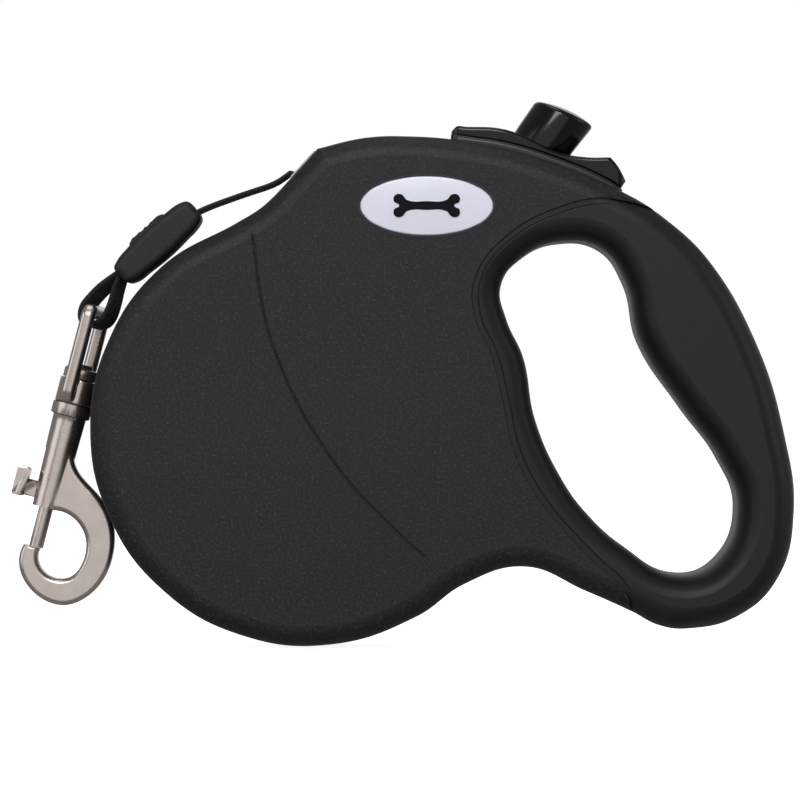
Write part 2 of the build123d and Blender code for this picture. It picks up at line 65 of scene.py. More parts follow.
CAMERA_DISTANCE = 1.125
view_centre = Vector((-11.15 * MM, 0, 61.5 * MM))
camera_data = bpy.data.cameras.new("camera")
camera_data.lens = 200
camera_data.clip_start = 0.05
camera = add_object("camera", camera_data)
camera.location = view_centre + Vector((0, -CAMERA_DISTANCE, 0))
camera.rotation_euler = (math.radians(90), 0, 0)
bpy.context.scene.camera = camera


# ---- Tape ----
# Woven nylon tape, 10 mm wide and 1.1 mm thick, folded over the lip of the mouth and pulled straight to
# the rubber slider. Past the slider it goes round the swivel eye's bar and is sewn back on itself.
def linear(hex_colour):
    """An sRGB hex colour as linear RGBA."""
    channels = [int(hex_colour[i:i + 2], 16) / 255 for i in (1, 3, 5)]
    return [c / 12.92 if c <= 0.04045 else ((c + 0.055) / 1.055) ** 2.4 for c in channels] + [1.0]


def material(name, colour, roughness, **sockets):
    """A material with its Principled shader's constants set; returns it with its node tree and shader."""
    made = bpy.data.materials.new(name)
    made.use_nodes = True
    shader = made.node_tree.nodes["Principled BSDF"]
    shader.inputs["Base Color"].default_value = linear(colour)
    shader.inputs["Roughness"].default_value = roughness
    for socket, value in sockets.items():
        shader.inputs[socket.replace("_", " ")].default_value = value
    return made, made.node_tree, shader


def node(tree, kind, links=(), **settings):
    """Adds one node; settings are its properties or sockets, links are (socket, source socket)."""
    made = tree.nodes.new("ShaderNode" + kind)
    for key, value in settings.items():
        if hasattr(made, key):
            setattr(made, key, value)
        else:
            made.inputs[key.replace("_", " ")].default_value = value
    for socket, source in links:
        tree.links.new(source, made.inputs[socket])
    return made


def object_coordinates(tree):
    return node(tree, "TexCoord").outputs["Object"]


def bump(tree, shader, height, depth_mm, strength=1.0):
    """Relief of depth_mm on the shader's surface."""
    made = node(tree, "Bump", [("Height", height)], Strength=strength, Distance=depth_mm * MM)
    tree.links.new(made.outputs["Normal"], shader.inputs["Normal"])


def tint(tree, shader, factor, dark, light):
    """Base colour that varies between two near shades."""
    ramp = node(tree, "ValToRGB", [("Fac", factor)])
    ramp.color_ramp.elements[0].color = linear(dark)
    ramp.color_ramp.elements[1].color = linear(light)
    tree.links.new(ramp.outputs["Color"], shader.inputs["Base Color"])
    return ramp


# Woven nylon: matt, near black, with a ribbed plain weave 0.6 mm from pick to pick.
webbing, tree, shader = material("woven_nylon", "#1c1b1d", 0.82)
shader.inputs["Sheen Weight"].default_value = 0.08
shader.inputs["Sheen Roughness"].default_value = 0.5
uv = node(tree, "TexCoord").outputs["UV"]
picks = node(tree, "TexWave", [("Vector", uv)], bands_direction="X", Scale=0.32 / 0.6, Distortion=0.6)
ends = node(tree, "TexWave", [("Vector", uv)], bands_direction="Y", Scale=0.32 / 0.9, Distortion=0.4)
weave = node(tree, "Math", [(0, picks.outputs["Fac"]), (1, ends.outputs["Fac"])], operation="MULTIPLY")
tint(tree, shader, weave.outputs[0], "#121113", "#2a292c")
bump(tree, shader, weave.outputs[0], 0.25)

TAPE_WIDTH, TAPE_THICK, TAPE_TWIST = 10.0, 1.1, -17
TWIST_START, TWIST_LENGTH = -76 * MM, 10 * MM
# (x, z) control points in millimetres, from inside the mouth to the end sewn inside the slider
tape_route = [
    (-29, 110.8), (-35.5, 116.6), (-38.6, 119.1), (-39.6, 118.2), (-43, 115.9), (-50, 113.7), (-62.2, 109.3),
    (-66.9, 105.8), (-76, 97.6), (-83.1, 92.5), (-87.3, 88.6), (-90.6, 84.8), (-90.6, 80.6), (-87.6, 79.9),
    (-85, 81.7), (-83.4, 85.5), (-82.4, 90), (-80.8, 94.2),
]


def new_piece(name, mesh, body):
    """A piece that rides on a body."""
    piece = add_object(name, mesh)
    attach(piece, body)
    return piece


def smooth_line(points):
    """Points along the smooth line that the route's points control."""
    curve = bpy.data.curves.new("line", "CURVE")
    curve.dimensions = "3D"
    curve.resolution_u = 24
    spline = curve.splines.new("NURBS")
    spline.points.add(len(points) - 1)
    for control, (x, z) in zip(spline.points, points):
        control.co = (x * MM, 0, z * MM, 1)
    spline.order_u = 3
    spline.use_endpoint_u = True
    holder = add_object("line", curve)
    sampled = bpy.data.meshes.new_from_object(holder)
    line = [v.co.copy() for v in sampled.vertices]
    bpy.data.objects.remove(holder)
    bpy.data.curves.remove(curve)
    return line


def to_mesh(bm, name):
    """The bmesh as a mesh; the bmesh is freed."""
    mesh = bpy.data.meshes.new(name)
    bm.to_mesh(mesh)
    bm.free()
    return mesh


def shade(mesh, angle):
    """Smooth shading, with a crease wherever faces meet more sharply than the angle."""
    mesh.shade_smooth()
    mesh.set_sharp_from_angle(angle=math.radians(angle))


def flat_tape(name, line, width, thick, twist):
    """A tape of rounded rectangular section along the line; its width lies on Y, then turns by twist degrees
    past the slider. UVs are in millimetres."""
    bm = bmesh.new()
    uv_layer = bm.loops.layers.uv.new("UVMap")
    half, lip = width / 2 * MM, thick / 2 * MM
    section = [(-half, 0), (-half + lip * 0.6, lip), (half - lip * 0.6, lip), (half, 0),
               (half - lip * 0.6, -lip), (-half + lip * 0.6, -lip)]
    rings, reach, travelled = [], [], 0
    for i, point in enumerate(line):
        ahead = line[min(i + 1, len(line) - 1)] - line[max(i - 1, 0)]
        normal = Vector((-ahead.z, 0, ahead.x)).normalized()
        travelled += (point - line[i - 1]).length if i else 0
        reach.append(travelled / MM)
        past = min(max((TWIST_START - point.x) / TWIST_LENGTH, 0), 1)
        turned = Matrix.Rotation(math.radians(twist) * past, 3, Vector((0.25, 0, 0.968)))
        rings.append([bm.verts.new(point + turned @ (Vector((0, y, 0)) + normal * n)) for y, n in section])
    for i in range(len(rings) - 1):
        for k in range(len(section)):
            after = (k + 1) % len(section)
            face = bm.faces.new((rings[i][k], rings[i][after], rings[i + 1][after], rings[i + 1][k]))
            for loop, u, v in zip(face.loops, (i, i, i + 1, i + 1), (k, after, after, k)):
                loop[uv_layer].uv = (reach[u], section[v][0] / MM)
    bm.faces.new(rings[0])
    bm.faces.new(rings[-1])
    bmesh.ops.recalc_face_normals(bm, faces=bm.faces)
    mesh = to_mesh(bm, name)
    shade(mesh, 50)
    return mesh


line = smooth_line(tape_route)
tape_mesh = flat_tape("tape", line, TAPE_WIDTH, TAPE_THICK, TAPE_TWIST)
tape_mesh.materials.append(webbing)
tape = add_object("tape", tape_mesh)
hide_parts("tape_run", "tape_loop")
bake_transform(tape)


# ---- Casing ----
# Two injection-moulded ABS halves screwed together, with a fine seam all round at Y = 0. The mould was
# spark eroded, which leaves an even fine grain that shows as tiny pale specks on charcoal.
DRUM, DRUM_R = (-34.2, 54.5), 54.5
MOUTH_TOP, MOUTH_END = (-31.8, 124.4), (-38.6, 116.9)
CASING_HALF, CASING_ROUND, CAVITY_HALF = 18, 5.2, 15.5
BUTTON_FOOT, LEAN = (24.75, 126.3), math.radians(37)
BADGE = (-4.5, 109.9)


def arc(centre, radius, first, sweep, count):
    """Points along an arc, in degrees."""
    angles = [math.radians(first + sweep * i / count) for i in range(count + 1)]
    return [(centre[0] + radius * math.cos(a), centre[1] + radius * math.sin(a)) for a in angles]


def free_mesh(data):
    """The mesh that a curve gives, with its doubles merged and its faces outward, and the curve dropped."""
    holder = add_object("holder", data)
    mesh = bpy.data.meshes.new_from_object(holder)
    bpy.data.objects.remove(holder)
    bpy.data.curves.remove(data)
    bm = bmesh.new()
    bm.from_mesh(mesh)
    bmesh.ops.remove_doubles(bm, verts=bm.verts, dist=2e-6)
    bmesh.ops.recalc_face_normals(bm, faces=bm.faces)
    bm.to_mesh(mesh)
    bm.free()
    return mesh


def slab(outlines, low, high, edge=0.0, corners=(), steps=12):
    """A slab from Y = low to high with smooth outlines in XZ, the second a hole, and its rim rounded by edge."""
    data = bpy.data.curves.new("outline", "CURVE")
    data.dimensions = "2D"
    data.fill_mode = "BOTH"
    data.resolution_u = steps
    data.bevel_resolution = 7
    data.extrude = ((high - low) / 2 - edge) * MM
    data.bevel_depth = edge * MM
    data.offset = -edge * MM
    for points in outlines:
        spline = data.splines.new("BEZIER")
        spline.bezier_points.add(len(points) - 1)
        spline.use_cyclic_u = True
        for i, (control, (x, z)) in enumerate(zip(spline.bezier_points, points)):
            control.co = (x * MM, z * MM, 0)
            kind = "VECTOR" if corners == "all" or i in corners else "AUTO"
            control.handle_left_type = control.handle_right_type = kind
    mesh = free_mesh(data)
    mesh.transform(Matrix.Translation((0, (low + high) / 2 * MM, 0)) @ Matrix.Rotation(math.radians(90), 4, "X"))
    return mesh


def block(outline, half):
    """A straight-sided block with sharp corners, as deep on each side of Y = 0."""
    return slab([outline], -half, half, corners="all", steps=1)


def box(place, left, right, low, high, half):
    """A block between two pairs of distances in a place function's frame."""
    return block([place(*p) for p in ((left, low), (right, low), (right, high), (left, high))], half)


def oval(rx, rz, count=16):
    """The badge's outline with half width rx and half height rz."""
    turns = [math.tau * i / count for i in range(count)]
    return [(BADGE[0] + rx * math.cos(a), BADGE[1] + rz * math.sin(a)) for a in turns]


def line_points(points, cyclic=False, steps=12):
    """Points of the smooth line through (x, z) points."""
    data = bpy.data.curves.new("line", "CURVE")
    data.resolution_u = steps
    spline = data.splines.new("BEZIER")
    spline.bezier_points.add(len(points) - 1)
    spline.use_cyclic_u = cyclic
    for control, (x, z) in zip(spline.bezier_points, points):
        control.co = (x, 0, z)
        control.handle_left_type = control.handle_right_type = "AUTO"
    mesh = free_mesh(data)
    line = [(v.co.x, v.co.z) for v in mesh.vertices]
    bpy.data.meshes.remove(mesh)
    return line


def groove(line, y, radius, shift=0.0, cyclic=False):
    """A thin tube at depth y along (x, z) points moved sideways by shift, for cutting a groove."""
    data = bpy.data.curves.new("groove", "CURVE")
    data.dimensions = "3D"
    data.bevel_depth = radius * MM
    data.bevel_resolution = 2
    data.use_fill_caps = not cyclic
    spline = data.splines.new("POLY")
    spline.points.add(len(line) - 1)
    spline.use_cyclic_u = cyclic
    for i, control in enumerate(spline.points):
        ahead = Vector(line[min(i + 1, len(line) - 1)]) - Vector(line[max(i - 1, 0)])
        x, z = Vector(line[i]) + Vector((-ahead.y, ahead.x)).normalized() * shift
        control.co = (x * MM, y * MM, z * MM, 1)
    return free_mesh(data)


def combine(mesh, others, operation="DIFFERENCE"):
    """The mesh with each of the others cut away, joined on, or kept to their overlap."""
    for other in others:
        base, tool = add_object("base", mesh), add_object("tool", other)
        modifier = base.modifiers.new("cut", "BOOLEAN")
        modifier.operation = operation
        modifier.solver = "EXACT"
        modifier.object = tool
        mesh = bpy.data.meshes.new_from_object(base.evaluated_get(bpy.context.evaluated_depsgraph_get()))
        bpy.data.objects.remove(base)
        bpy.data.objects.remove(tool)
    return mesh


def finish_flat(mesh, angle=32):
    """Smooth shading with crisp creases; the wide flat faces keep their own exact normal."""
    shade(mesh, angle)
    for face in mesh.polygons:
        if abs(face.normal.y) > 0.99995:
            face.use_smooth = False


def coat(mesh, made):
    """Gives a mesh one material in place of what it had."""
    mesh.materials.clear()
    mesh.materials.append(made)


def even_shading(piece):
    """Wide faces set the shading beside them, so long thin triangles don't show."""
    weighted = piece.modifiers.new("normals", "WEIGHTED_NORMAL")
    weighted.keep_sharp = True
    return piece


def in_button_frame(along, up):
    """A point from its distances along the lock's travel and up the button's axis."""
    return (BUTTON_FOOT[0] + along * math.cos(LEAN) + up * math.sin(LEAN),
            BUTTON_FOOT[1] - along * math.sin(LEAN) + up * math.cos(LEAN))


def on_mouth(along, out):
    """A point from its distances along the mouth and out of it."""
    way = (Vector(MOUTH_END) - Vector(MOUTH_TOP)).normalized()
    return tuple(Vector(MOUTH_TOP) + along * way + out * Vector((way.y, -way.x)))


handle_back = [
    (53.9, 5), (61.4, 4.1), (73.9, 7.2), (83.9, 16.8), (87.9, 33.2), (85.4, 53.3), (78.4, 75.9), (67.2, 95.3),
    (55.4, 106.8), (44.2, 113.75),
]
silhouette = arc(DRUM, DRUM_R, 108.2, 191.9, 8) + [(5.1, 15.5), (20.1, 19.8), (35.1, 13.8), (46.6, 8.7)]
silhouette += handle_back + [(23.1, 122.25), (6.4, 126.1), (-9.5, 127.5), (-20, 127.1), MOUTH_TOP, MOUTH_END]
silhouette += [(-43.2, 112), (-46.2, 109.4)]
mouth_corners = [silhouette.index(MOUTH_TOP), silhouette.index(MOUTH_END)]
grip_line = [
    (53.5, 108.6), (46.7, 110.9), (38.8, 111.6), (29.5, 109.7), (16, 102.6), (7.9, 92.2), (7.6, 82.6),
    (11.8, 72.9), (14.8, 60.8), (17.6, 48.6), (23.9, 36.5), (36.7, 21.9), (44.8, 13.8), (47.5, 4),
]
grip_edge = line_points([(64, 103)] + grip_line + [(48, -4)])


def beside(line, shift):
    """The line's points moved sideways by shift."""
    moved = []
    for i, point in enumerate(line):
        ahead = Vector(line[min(i + 1, len(line) - 1)]) - Vector(line[max(i - 1, 0)])
        moved.append(tuple(Vector(point) + Vector((-ahead.y, ahead.x)).normalized() * shift))
    return moved


crease = line_points([(-49.5, 108), (-48.3, 104), (-43.6, 77.7), (-29.4, 48.6), (-11.2, 28), (-5, 22.5)])
chamber = [
    (-40, 101), (-41.6, 111.5), (-37.2, 115.2), (-33, 118.2), (-29, 120.6), (-20, 124.4), (-9.5, 125),
    (6.4, 123.6), (16, 121.4), (30.5, 114), (27, 110.5), (15.3, 104.3), (6, 96), (5.2, 88), (2, 86),
]
beyond_handle = [(120, -4), (120, 102)]
seam_line = line_points(silhouette, cyclic=True)
casing_mesh = combine(slab([silhouette], -CASING_HALF, CASING_HALF, CASING_ROUND, corners=mouth_corners), [
    block(grip_edge + beyond_handle, 20),
    groove(grip_edge, -17.7, 0.5),
    groove(grip_edge, 17.7, 0.5),
    slab([arc(DRUM, 49, 0, 345, 23)], -CAVITY_HALF, CAVITY_HALF, steps=4),
    block(chamber, CAVITY_HALF),
    box(in_button_frame, -9.4, 11.4, -14, 12, 10.5),
    box(on_mouth, 0.6, 9.8, -1.2, 2, 8.5),
    box(on_mouth, 7.1, 9.4, -5, 2, 5.3),
    slab([oval(17.1, 7.9)], -19, -16.8, steps=6),
    groove(crease, -18.1, 0.42),
    groove(crease, 18.1, 0.42),
    groove(seam_line, 0, 0.3, cyclic=True),
])
# The screws go in from the back: x, z and the depth of each seat; the first three have bosses in the casing
screws = [(-25, 119, 13), (5, 98.5, 13), (19.5, 27, 13), (79.5, 45, 7), (58, 97.5, 7)]


def screw_bore(x, z, radius, low, high):
    """A round boss or bore for a screw, from Y = low to high."""
    return slab([arc((x, z), radius, 0, 330, 11)], low, high, steps=3)


casing_mesh = combine(casing_mesh, [screw_bore(x, z, 3.7, -15.7, 15.7) for x, z, seat in screws[:3]], "UNION")
casing_mesh = combine(casing_mesh, [screw_bore(x, z, 2.9, seat - 0.1, 20) for x, z, seat in screws[:3]])
casing_mesh = combine(casing_mesh, [screw_bore(x, z, 1.6, -6.2, 14) for x, z, seat in screws[:3]])
finish_flat(casing_mesh)

# Moulded ABS: charcoal, satin, with a spark-eroded grain of about 0.7 mm, coarser than real so that it shows.
abs_grain, tree, shader = material("moulded_abs", "#161718", 0.5, Specular_IOR_Level=0.35)
place = object_coordinates(tree)
grain = node(tree, "TexNoise", [("Vector", place)], Scale=1500, Detail=3, Roughness=0.7)
ramp = tint(tree, shader, grain.outputs["Fac"], "#151618", "#3c3d43")
ramp.color_ramp.elements[0].position = 0.52
ramp.color_ramp.elements[1].position = 0.78
bump(tree, shader, grain.outputs["Fac"], 0.15, 0.8)
coat(casing_mesh, abs_grain)
casing = even_shading(new_piece("casing_halves", casing_mesh, "casing"))
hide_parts("shell_front", "shell_back")


def dress(names, made):
    """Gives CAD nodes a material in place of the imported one."""
    for name in names:
        coat(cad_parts[name].data, made)


def smooth_copy(node_name, body, made, angle=35):
    """A merged copy of a CAD node, shaded smooth up to the angle, that stands for it."""
    bm = bmesh.new()
    bm.from_mesh(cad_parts[node_name].data)
    bmesh.ops.remove_doubles(bm, verts=bm.verts, dist=1e-6)
    mesh = to_mesh(bm, node_name + "_finished")
    shade(mesh, angle)
    mesh.materials.append(made)
    piece = new_piece(node_name + "_finished", mesh, body)
    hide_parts(node_name)
    return even_shading(piece)


# ---- Soft grip ----
# Thermoplastic elastomer moulded over the handle in two halves. It is rounded for the hand, with a thin lip
# along the casing, and is smoother and darker than the ABS.
hand_hole = [
    (28.8, 101.2), (39.2, 99.5), (45.3, 91), (48.9, 76.3), (59.5, 59.9), (69, 46.9), (73.5, 34.9), (68.7, 21.6),
    (59, 17.6), (44.5, 25.1), (35.2, 33.6), (29.5, 41.5), (22.7, 56.6), (19.7, 72.3), (15.6, 81.5), (14.1, 90),
    (19.9, 97.6),
]
GRIP_HALF, GRIP_ROUND, GRIP_SWELL, SWELL_WIDTH = 17.3, 5.6, 11.0, 24
SEAM_LAP = 0.12                 # the grip reaches under the casing's edge by this much
grip_mesh = slab([silhouette, hand_hole], -GRIP_HALF + GRIP_SWELL - GRIP_ROUND,
                 GRIP_HALF - GRIP_SWELL + GRIP_ROUND, GRIP_ROUND, corners=mouth_corners)
core = GRIP_HALF - GRIP_SWELL
for vertex in grip_mesh.vertices:
    # Beside the casing the grip is rounded as the casing is, and it swells to a rounder bar in the hand
    place = Vector((vertex.co.x / MM, vertex.co.z / MM))
    near = min(min((place - Vector(point)).length for point in grip_edge) / SWELL_WIDTH, 1)
    swell = GRIP_ROUND + (GRIP_SWELL - GRIP_ROUND) * near * near * (3 - 2 * near)
    depth = abs(vertex.co.y) / MM
    flat = GRIP_HALF - swell
    depth = depth * flat / core if depth < core else flat + (depth - core) * swell / GRIP_ROUND
    vertex.co.y = math.copysign(depth * MM, vertex.co.y)
grip_mesh = combine(grip_mesh, [
    block(beside(grip_edge, -SEAM_LAP) + beyond_handle, 20),
], "INTERSECT")
lip = beside(grip_edge, 1.35)
grip_mesh = combine(grip_mesh, [
    groove(lip, -GRIP_HALF - 0.1, 0.3), groove(lip, GRIP_HALF + 0.1, 0.3),
    groove(seam_line, 0, 0.25, cyclic=True),
])
grip_mesh = combine(grip_mesh, [screw_bore(x, z, 2.9, seat - 0.1, 20) for x, z, seat in screws[3:]])
finish_flat(grip_mesh)
# Moulded elastomer: soft black, dull, with a skin too fine to see except as a softer highlight.
soft_grip, tree, shader = material("overmoulded_elastomer", "#141415", 0.48, Specular_IOR_Level=0.35)
place = object_coordinates(tree)
skin = node(tree, "TexNoise", [("Vector", place)], Scale=3000, Detail=2)
tint(tree, shader, skin.outputs["Fac"], "#101011", "#19191a")
bump(tree, shader, skin.outputs["Fac"], 0.05, 0.5)
coat(grip_mesh, soft_grip)
grip = even_shading(new_piece("grip_halves", grip_mesh, "casing"))
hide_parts("grip_front", "grip_back")


# ---- Badge ----
# An oval plate pressed into the side: a dark rim, then a pale print under a clear resin dome. The print
# carries a plain bone shape.


def speckled(made, dark, light, scale, depth_mm):
    """Gives a material fine mottling in its colour and a shallow grain."""
    finish, tree, shader = made
    speck = node(tree, "TexNoise", [("Vector", object_coordinates(tree))], Scale=scale, Detail=3)
    tint(tree, shader, speck.outputs["Fac"], dark, light)
    bump(tree, shader, speck.outputs["Fac"], depth_mm, 0.5)
    return finish


# Moulded ABS in deep blue-black, with a fine satin grain.
dress(["badge_base"], speckled(material("badge_rim", "#15132a", 0.35), "#121026", "#1a1832", 1500, 0.02))


# Clear resin over a pale print: very smooth, with the print's slight cloudiness under the gloss.
badge_white, tree, shader = material("domed_resin", "#e9edfb", 0.22, Coat_Weight=1.0, Coat_Roughness=0.04)
place = object_coordinates(tree)
cloud = node(tree, "TexNoise", [("Vector", place)], Scale=90, Detail=1)
tint(tree, shader, cloud.outputs["Fac"], "#e6eafa", "#f0f3ff")
dome_mesh = slab([oval(16.6, 7.4)], -18.25, -17.0, 0.55, steps=8)
bm = bmesh.new()
bm.from_mesh(dome_mesh)
flat = [f for f in bm.faces if f.normal.y < -0.9999]
bmesh.ops.delete(bm, geom=flat, context="FACES_ONLY")
rim = [e for e in bm.edges if e.is_boundary]
for _ in range(7):
    made = bmesh.ops.extrude_edge_only(bm, edges=rim)["geom"]
    rim = [e for e in made if isinstance(e, bmesh.types.BMEdge) and e.is_boundary]
    for vertex in {v for e in rim for v in e.verts}:
        centre = Vector((BADGE[0] * MM, vertex.co.y, BADGE[1] * MM))
        vertex.co = centre + (vertex.co - centre) * 0.8
        vertex.co.y = -(18.8 - 0.55 * ((vertex.co.x - centre.x) / (0.016)) ** 2
                        - 0.55 * ((vertex.co.z - centre.z) / (0.007)) ** 2) * MM
bmesh.ops.holes_fill(bm, edges=rim, sides=0)
bmesh.ops.recalc_face_normals(bm, faces=bm.faces)
bm.to_mesh(dome_mesh)
bm.free()
shade(dome_mesh, 60)
coat(dome_mesh, badge_white)
dome = new_piece("badge_plate", dome_mesh, "casing")
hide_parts("badge_dome")

# Screen-printed ink: matt, with the slight mottle of a thick print.
print_ink = speckled(material("printed_ink", "#101018", 0.6, Specular_IOR_Level=0.1),
                     "#0d0d14", "#15151e", 1200, 0.01)
bone = [(-7.2, 0), (-8.6, 1.1), (-8.3, 2.7), (-6.6, 2.9), (-5.2, 1.5), (0, 1.15), (5.2, 1.5), (6.6, 2.9), (8.3, 2.7),
        (8.6, 1.1), (7.2, 0)]
bone += [(x, -z) for x, z in bone[-2:0:-1]]
bone_mesh = slab([[(x * 0.95 + BADGE[0], z * 0.95 + BADGE[1]) for x, z in bone]], -18.92, -18.3, 0.05, steps=6)
finish_flat(bone_mesh)
coat(bone_mesh, print_ink)
new_piece("badge_mark", bone_mesh, "casing")


# ---- Tape guide ----
# A plate let into the mouth, standing a little proud, coloured off white as painted highlight: it stands for the
# thin line of light along the mouth's glossy edge. The tape runs out through the notch at its lower end.
# Painted highlight: off white, slightly cloudy, with a low gloss, in place of the shine along the mouth.
guide_highlight_paint, tree, shader = material("painted_highlight_guide_finish", "#c9c7bd", 0.2, Coat_Weight=0.3)
place = object_coordinates(tree)
cloud = node(tree, "TexNoise", [("Vector", place)], Scale=300, Detail=2)
tint(tree, shader, cloud.outputs["Fac"], "#c0beb3", "#d2d0c8")
guide_mesh = combine(
    slab([[on_mouth(*p) for p in ((0.8, -1.1), (9.5, -1.1), (9.5, 0.6), (0.8, 0.6))]], -8.3, 8.3, 0.3,
         corners="all", steps=1),
    [box(on_mouth, 6.9, 12, -5, 2, 5.3)],
)
finish_flat(guide_mesh)
coat(guide_mesh, guide_highlight_paint)
guide_piece = even_shading(new_piece("guide_painted_highlight", guide_mesh, "casing"))
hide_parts("tape_guide")


# ---- Brake ----
# A matt band round the opening, and on it a polished saddle for the thumb with a rolled edge. The leaning
# button comes up through it, wider towards its slanted, gently domed top.
# Satin ABS: black, with a fine moulded texture that spreads its highlights.
band, tree, shader = material("satin_abs", "#1b1c1e", 0.28, Specular_IOR_Level=0.5)
place = object_coordinates(tree)
fine = node(tree, "TexNoise", [("Vector", place)], Scale=2500, Detail=2)
tint(tree, shader, fine.outputs["Fac"], "#161719", "#222325")
dress(["brake_bezel", "lock_carriage", "brake_lever"], band)
button_axis = Vector((math.sin(LEAN), 0, math.cos(LEAN)))
button_frame = Matrix.Translation((BUTTON_FOOT[0] * MM, 0, BUTTON_FOOT[1] * MM)) @ Matrix.Rotation(LEAN, 4, "Y")


def turned(profile, count=64):
    """A bmesh of a profile of (radius, height) points spun about Z, closed where the radius is 0."""
    bm = bmesh.new()
    points = [bm.verts.new((radius * MM, 0, height * MM)) for radius, height in profile]
    edges = [bm.edges.new(pair) for pair in zip(points, points[1:])]
    bmesh.ops.spin(bm, geom=points + edges, cent=(0, 0, 0), axis=(0, 0, 1), angle=math.tau, steps=count,
                   use_merge=True)
    bmesh.ops.remove_doubles(bm, verts=bm.verts, dist=1e-7)
    bmesh.ops.recalc_face_normals(bm, faces=bm.faces)
    return bm


def bore_for_button():
    """A cutter for the button's opening, longer by the lock's travel."""
    bm = turned([(0, -14), (8.1, -14), (8.1, 14), (0, 14)], 48)
    for vertex in bm.verts:
        if vertex.co.x > 0:
            vertex.co.x += 2.6 * MM
    mesh = to_mesh(bm, "bore")
    mesh.transform(button_frame)
    return mesh


def plan(left, right, half, radius):
    """A tall block with rounded corners in plan, to trim a piece to."""
    corners = arc((right - radius, half - radius), radius, 0, 90, 6)
    corners += arc((left + radius, half - radius), radius, 90, 90, 6)
    corners += arc((left + radius, radius - half), radius, 180, 90, 6)
    corners += arc((right - radius, radius - half), radius, 270, 90, 6)
    mesh = slab([corners], -150, 0, corners="all", steps=1)
    mesh.transform(Matrix.Rotation(math.radians(-90), 4, "X"))
    return mesh


band_mesh = combine(slab([[
    (1.7, 128.1), (6.4, 127.45), (16.45, 125.8), (29.8, 121.6), (40.6, 116.9), (44.6, 114.2), (44.1, 112.6),
    (34, 116.4), (23.1, 120.4), (6.4, 124.6), (1.5, 125.4),
]], -12.5, 12.5, 0.9, corners=(0, 5, 6, 10), steps=8), [bore_for_button()])
band_mesh = combine(band_mesh, [plan(1.4, 44.7, 12.53, 2.5)], "INTERSECT")
finish_flat(band_mesh, 50)
coat(band_mesh, band)
band_piece = even_shading(new_piece("brake_band", band_mesh, "casing"))
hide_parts("brake_bezel")

# Polished ABS: deep black gloss, with a faint haze that breaks up the reflections.
gloss, tree, shader = material("polished_abs", "#08090c", 0.14, Coat_Weight=0.15, Specular_IOR_Level=0.3)
place = object_coordinates(tree)
haze = node(tree, "TexNoise", [("Vector", place)], Scale=120, Detail=3)
haze_range = node(tree, "MapRange", [("Value", haze.outputs["Fac"])])
haze_range.inputs["To Min"].default_value = 0.1
haze_range.inputs["To Max"].default_value = 0.2
tree.links.new(haze_range.outputs["Result"], shader.inputs["Roughness"])
saddle_mesh = combine(slab([[
    (1.8, 128.9), (3.2, 130.2), (5.3, 130.1), (13.75, 129.7), (19.5, 128), (28.3, 123.8), (35, 122.5),
    (41.7, 122.4), (43.6, 120.1), (45.5, 116.45), (44.3, 114.6), (40.6, 116.7), (29.8, 121.4), (16.45, 125.6),
    (6.4, 127.25), (1.9, 127.9),
]], -10.5, 10.5, 0.9, corners=(0, 7, 9, 10, 15), steps=8), [bore_for_button()])
saddle_mesh = combine(saddle_mesh, [plan(1.6, 45.7, 10.53, 2.5)], "INTERSECT")
finish_flat(saddle_mesh, 60)
coat(saddle_mesh, gloss)
saddle = even_shading(new_piece("saddle", saddle_mesh, "casing"))
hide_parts("thumb_saddle")

rim_round = [(6.45 + 1.3 * math.cos(a), 7.6 + 1.3 * math.sin(a)) for a in [math.radians(t) for t in range(0, 76, 15)]]
crown = [(r, 9.35 - 0.95 * (r / 6.6) ** 2 + 0.5) for r in (6, 5, 4, 3, 2, 1)]
bm = turned([(0, 1), (5.9, 1), (5.9, -3.8), (7.1, -3.8), (7.45, 0)] + rim_round + crown + [(0, 9.85)])
for vertex in bm.verts:
    rise = min(max((vertex.co.z / MM - 3) / 4, 0), 1)
    vertex.co.z += rise * (vertex.co.x * 0.23 + 0.9 * MM)
button_mesh = to_mesh(bm, "button")
button_mesh.transform(button_frame)
shade(button_mesh, 50)
button_mesh.materials.append(gloss)
button = new_piece("thumb_button", button_mesh, "button")
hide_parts("brake_button")


# ---- Reel, axle, springs and screws ----
# The moulded spool and its cover turn on a steel axle inside the casing, wound back by a flat spring.
# Small wire coils return the button and the bolt, and five cross-head screws hold the halves together.

# Moulded acetal: milky white, with faint flow marks.
acetal = speckled(material("moulded_acetal", "#c8c6bd", 0.45), "#c0beb4", "#d2d0c8", 250, 0.02)
dress(["spool", "spring_cover"], acetal)
# Zinc-plated steel: pale grey, with a fine crystalline mottle.
zinc = speckled(material("zinc_plated_steel", "#a9abad", 0.34, Metallic=1.0), "#9b9da0", "#b6b8bb", 900, 0.01)
dress(["axle", "axle_washers", "lever_pin"], zinc)
# Blued spring steel: dark blue-grey from tempering, cloudy.
blued = speckled(material("blued_spring_steel", "#5c6068", 0.3, Metallic=1.0), "#50545e", "#686c74", 400, 0.01)
dress(["power_spring"], blued)
SLOT_REACH, SLOT_HALF = 1.7, 0.4
screw_set = smooth_copy("casing_screws", "casing", zinc)
slots = []
for x, z, seat in screws:
    for wide, tall in ((SLOT_REACH, SLOT_HALF), (SLOT_HALF, SLOT_REACH)):
        outline = [(x + wide, z - tall), (x + wide, z + tall), (x - wide, z + tall), (x - wide, z - tall)]
        slots.append(slab([outline], seat + 0.9, seat + 4, corners="all", steps=1))
screw_set.data = combine(screw_set.data, slots)


